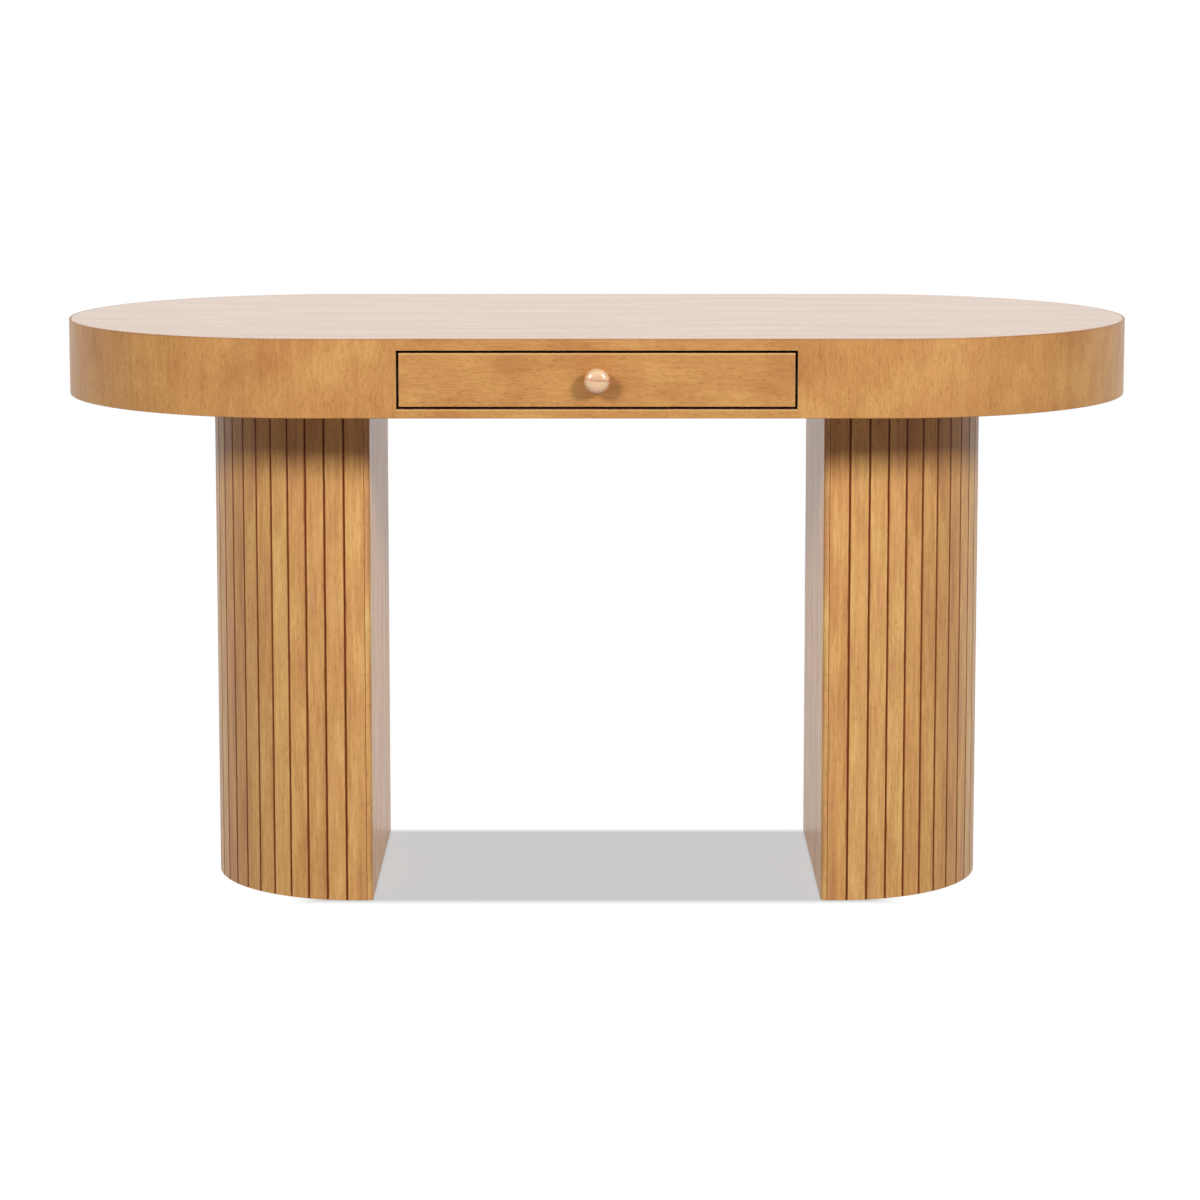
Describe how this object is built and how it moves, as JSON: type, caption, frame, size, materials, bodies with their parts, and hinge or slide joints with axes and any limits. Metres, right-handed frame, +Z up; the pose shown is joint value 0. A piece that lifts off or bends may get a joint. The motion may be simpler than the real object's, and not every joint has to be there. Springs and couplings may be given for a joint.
{
  "type": "console desk",
  "caption": "Oval console desk with a deep stadium-shaped case, one inset drawer with a round knob, and slatted D-shaped column legs.",
  "frame": {"origin": "on the floor, at the middle of the plan box, which the knob extends by 26 mm at the front; the middle of the oval top lies 13 mm behind it", "axes": "+X to the right of somebody who faces the drawer, along the desk's length; +Y to the back; +Z up"},
  "size_m": [1.4, 0.706, 0.75],
  "materials": {
    "stained_veneer": "honey-brown stained maple veneer under satin lacquer",
    "stained_slat": "honey-brown stained solid maple strips, satin lacquer, upright grain",
    "pale_maple": "clear-lacquered natural maple, turned",
    "drawer_birch": "clear-lacquered birch",
    "frame_plywood": "raw plywood and softwood",
    "slide_steel": "black zinc-plated steel sheet",
    "fastener_steel": "zinc-plated steel",
    "ball_steel": "polished bearing steel",
    "cage_polymer": "moulded cage",
    "glide_polymer": "moulded glide"
  },
  "bodies": {
    "case": {"back_rail": "frame_plywood", "bottom_panel": "stained_veneer", "cabinet_rail_left": "slide_steel", "cabinet_rail_right": "slide_steel", "cabinet_rail_screws": "fastener_steel", "drawer_guide_left": "frame_plywood", "drawer_guide_right": "frame_plywood", "edge_band": "stained_veneer", "end_apron_left": "frame_plywood", "end_apron_right": "frame_plywood", "front_rail_left": "frame_plywood", "front_rail_right": "frame_plywood", "leg_base_former_left": "frame_plywood", "leg_base_former_right": "frame_plywood", "leg_battens_left": "frame_plywood", "leg_battens_right": "frame_plywood", "leg_bolts_left": "fastener_steel", "leg_bolts_right": "fastener_steel", "leg_corner_posts_left": "frame_plywood", "leg_corner_posts_right": "frame_plywood", "leg_curved_skin_left": "frame_plywood", "leg_curved_skin_right": "frame_plywood", "leg_curved_slats_left": "stained_slat", "leg_curved_slats_right": "stained_slat", "leg_glides_left": "glide_polymer", "leg_glides_right": "glide_polymer", "leg_inner_panel_left": "frame_plywood", "leg_inner_panel_right": "frame_plywood", "leg_inner_slats_left": "stained_slat", "leg_inner_slats_right": "stained_slat", "leg_mid_former_left": "frame_plywood", "leg_mid_former_right": "frame_plywood", "leg_top_plate_left": "frame_plywood", "leg_top_plate_right": "frame_plywood", "leg_washers_left": "fastener_steel", "leg_washers_right": "fastener_steel", "threaded_inserts": "fastener_steel", "top_panel": "stained_veneer"},
    "drawer": {"drawer_back": "drawer_birch", "drawer_bottom": "drawer_birch", "drawer_dowels": "drawer_birch", "drawer_front": "stained_veneer", "drawer_knob": "pale_maple", "drawer_rail_left": "slide_steel", "drawer_rail_right": "slide_steel", "drawer_rail_screws": "fastener_steel", "drawer_side_left": "drawer_birch", "drawer_side_right": "drawer_birch", "knob_screw": "fastener_steel"},
    "inner_cage_left": {"inner_ball_cage_left": "cage_polymer", "inner_balls_left": "ball_steel"},
    "inner_cage_right": {"inner_ball_cage_right": "cage_polymer", "inner_balls_right": "ball_steel"},
    "mid_slide_left": {"mid_rail_left": "slide_steel"},
    "mid_slide_right": {"mid_rail_right": "slide_steel"},
    "outer_cage_left": {"outer_ball_cage_left": "cage_polymer", "outer_balls_left": "ball_steel"},
    "outer_cage_right": {"outer_ball_cage_right": "cage_polymer", "outer_balls_right": "ball_steel"}
  },
  "joints": [
    {"name": "drawer_slide", "type": "slide", "parent": "case", "child": "drawer", "axis": [0, -1, 0], "range_m": [0, 0.35]},
    {"name": "mid_slide_travel_left", "type": "slide", "parent": "case", "child": "mid_slide_left", "axis": [0, -1, 0], "range_m": [0, 0.175]},
    {"name": "outer_cage_travel_left", "type": "slide", "parent": "case", "child": "outer_cage_left", "axis": [0, -1, 0], "range_m": [0, 0.0875]},
    {"name": "inner_cage_travel_left", "type": "slide", "parent": "mid_slide_left", "child": "inner_cage_left", "axis": [0, -1, 0], "range_m": [0, 0.0875]},
    {"name": "mid_slide_travel_right", "type": "slide", "parent": "case", "child": "mid_slide_right", "axis": [0, -1, 0], "range_m": [0, 0.175]},
    {"name": "outer_cage_travel_right", "type": "slide", "parent": "case", "child": "outer_cage_right", "axis": [0, -1, 0], "range_m": [0, 0.0875]},
    {"name": "inner_cage_travel_right", "type": "slide", "parent": "mid_slide_right", "child": "inner_cage_right", "axis": [0, -1, 0], "range_m": [0, 0.0875]}
  ],
  "couplings": [
    {"joint": "mid_slide_travel_left", "follows": "drawer_slide", "ratio": 0.5},
    {"joint": "outer_cage_travel_left", "follows": "drawer_slide", "ratio": 0.25},
    {"joint": "inner_cage_travel_left", "follows": "drawer_slide", "ratio": 0.25},
    {"joint": "mid_slide_travel_right", "follows": "drawer_slide", "ratio": 0.5},
    {"joint": "outer_cage_travel_right", "follows": "drawer_slide", "ratio": 0.25},
    {"joint": "inner_cage_travel_right", "follows": "drawer_slide", "ratio": 0.25}
  ]
}
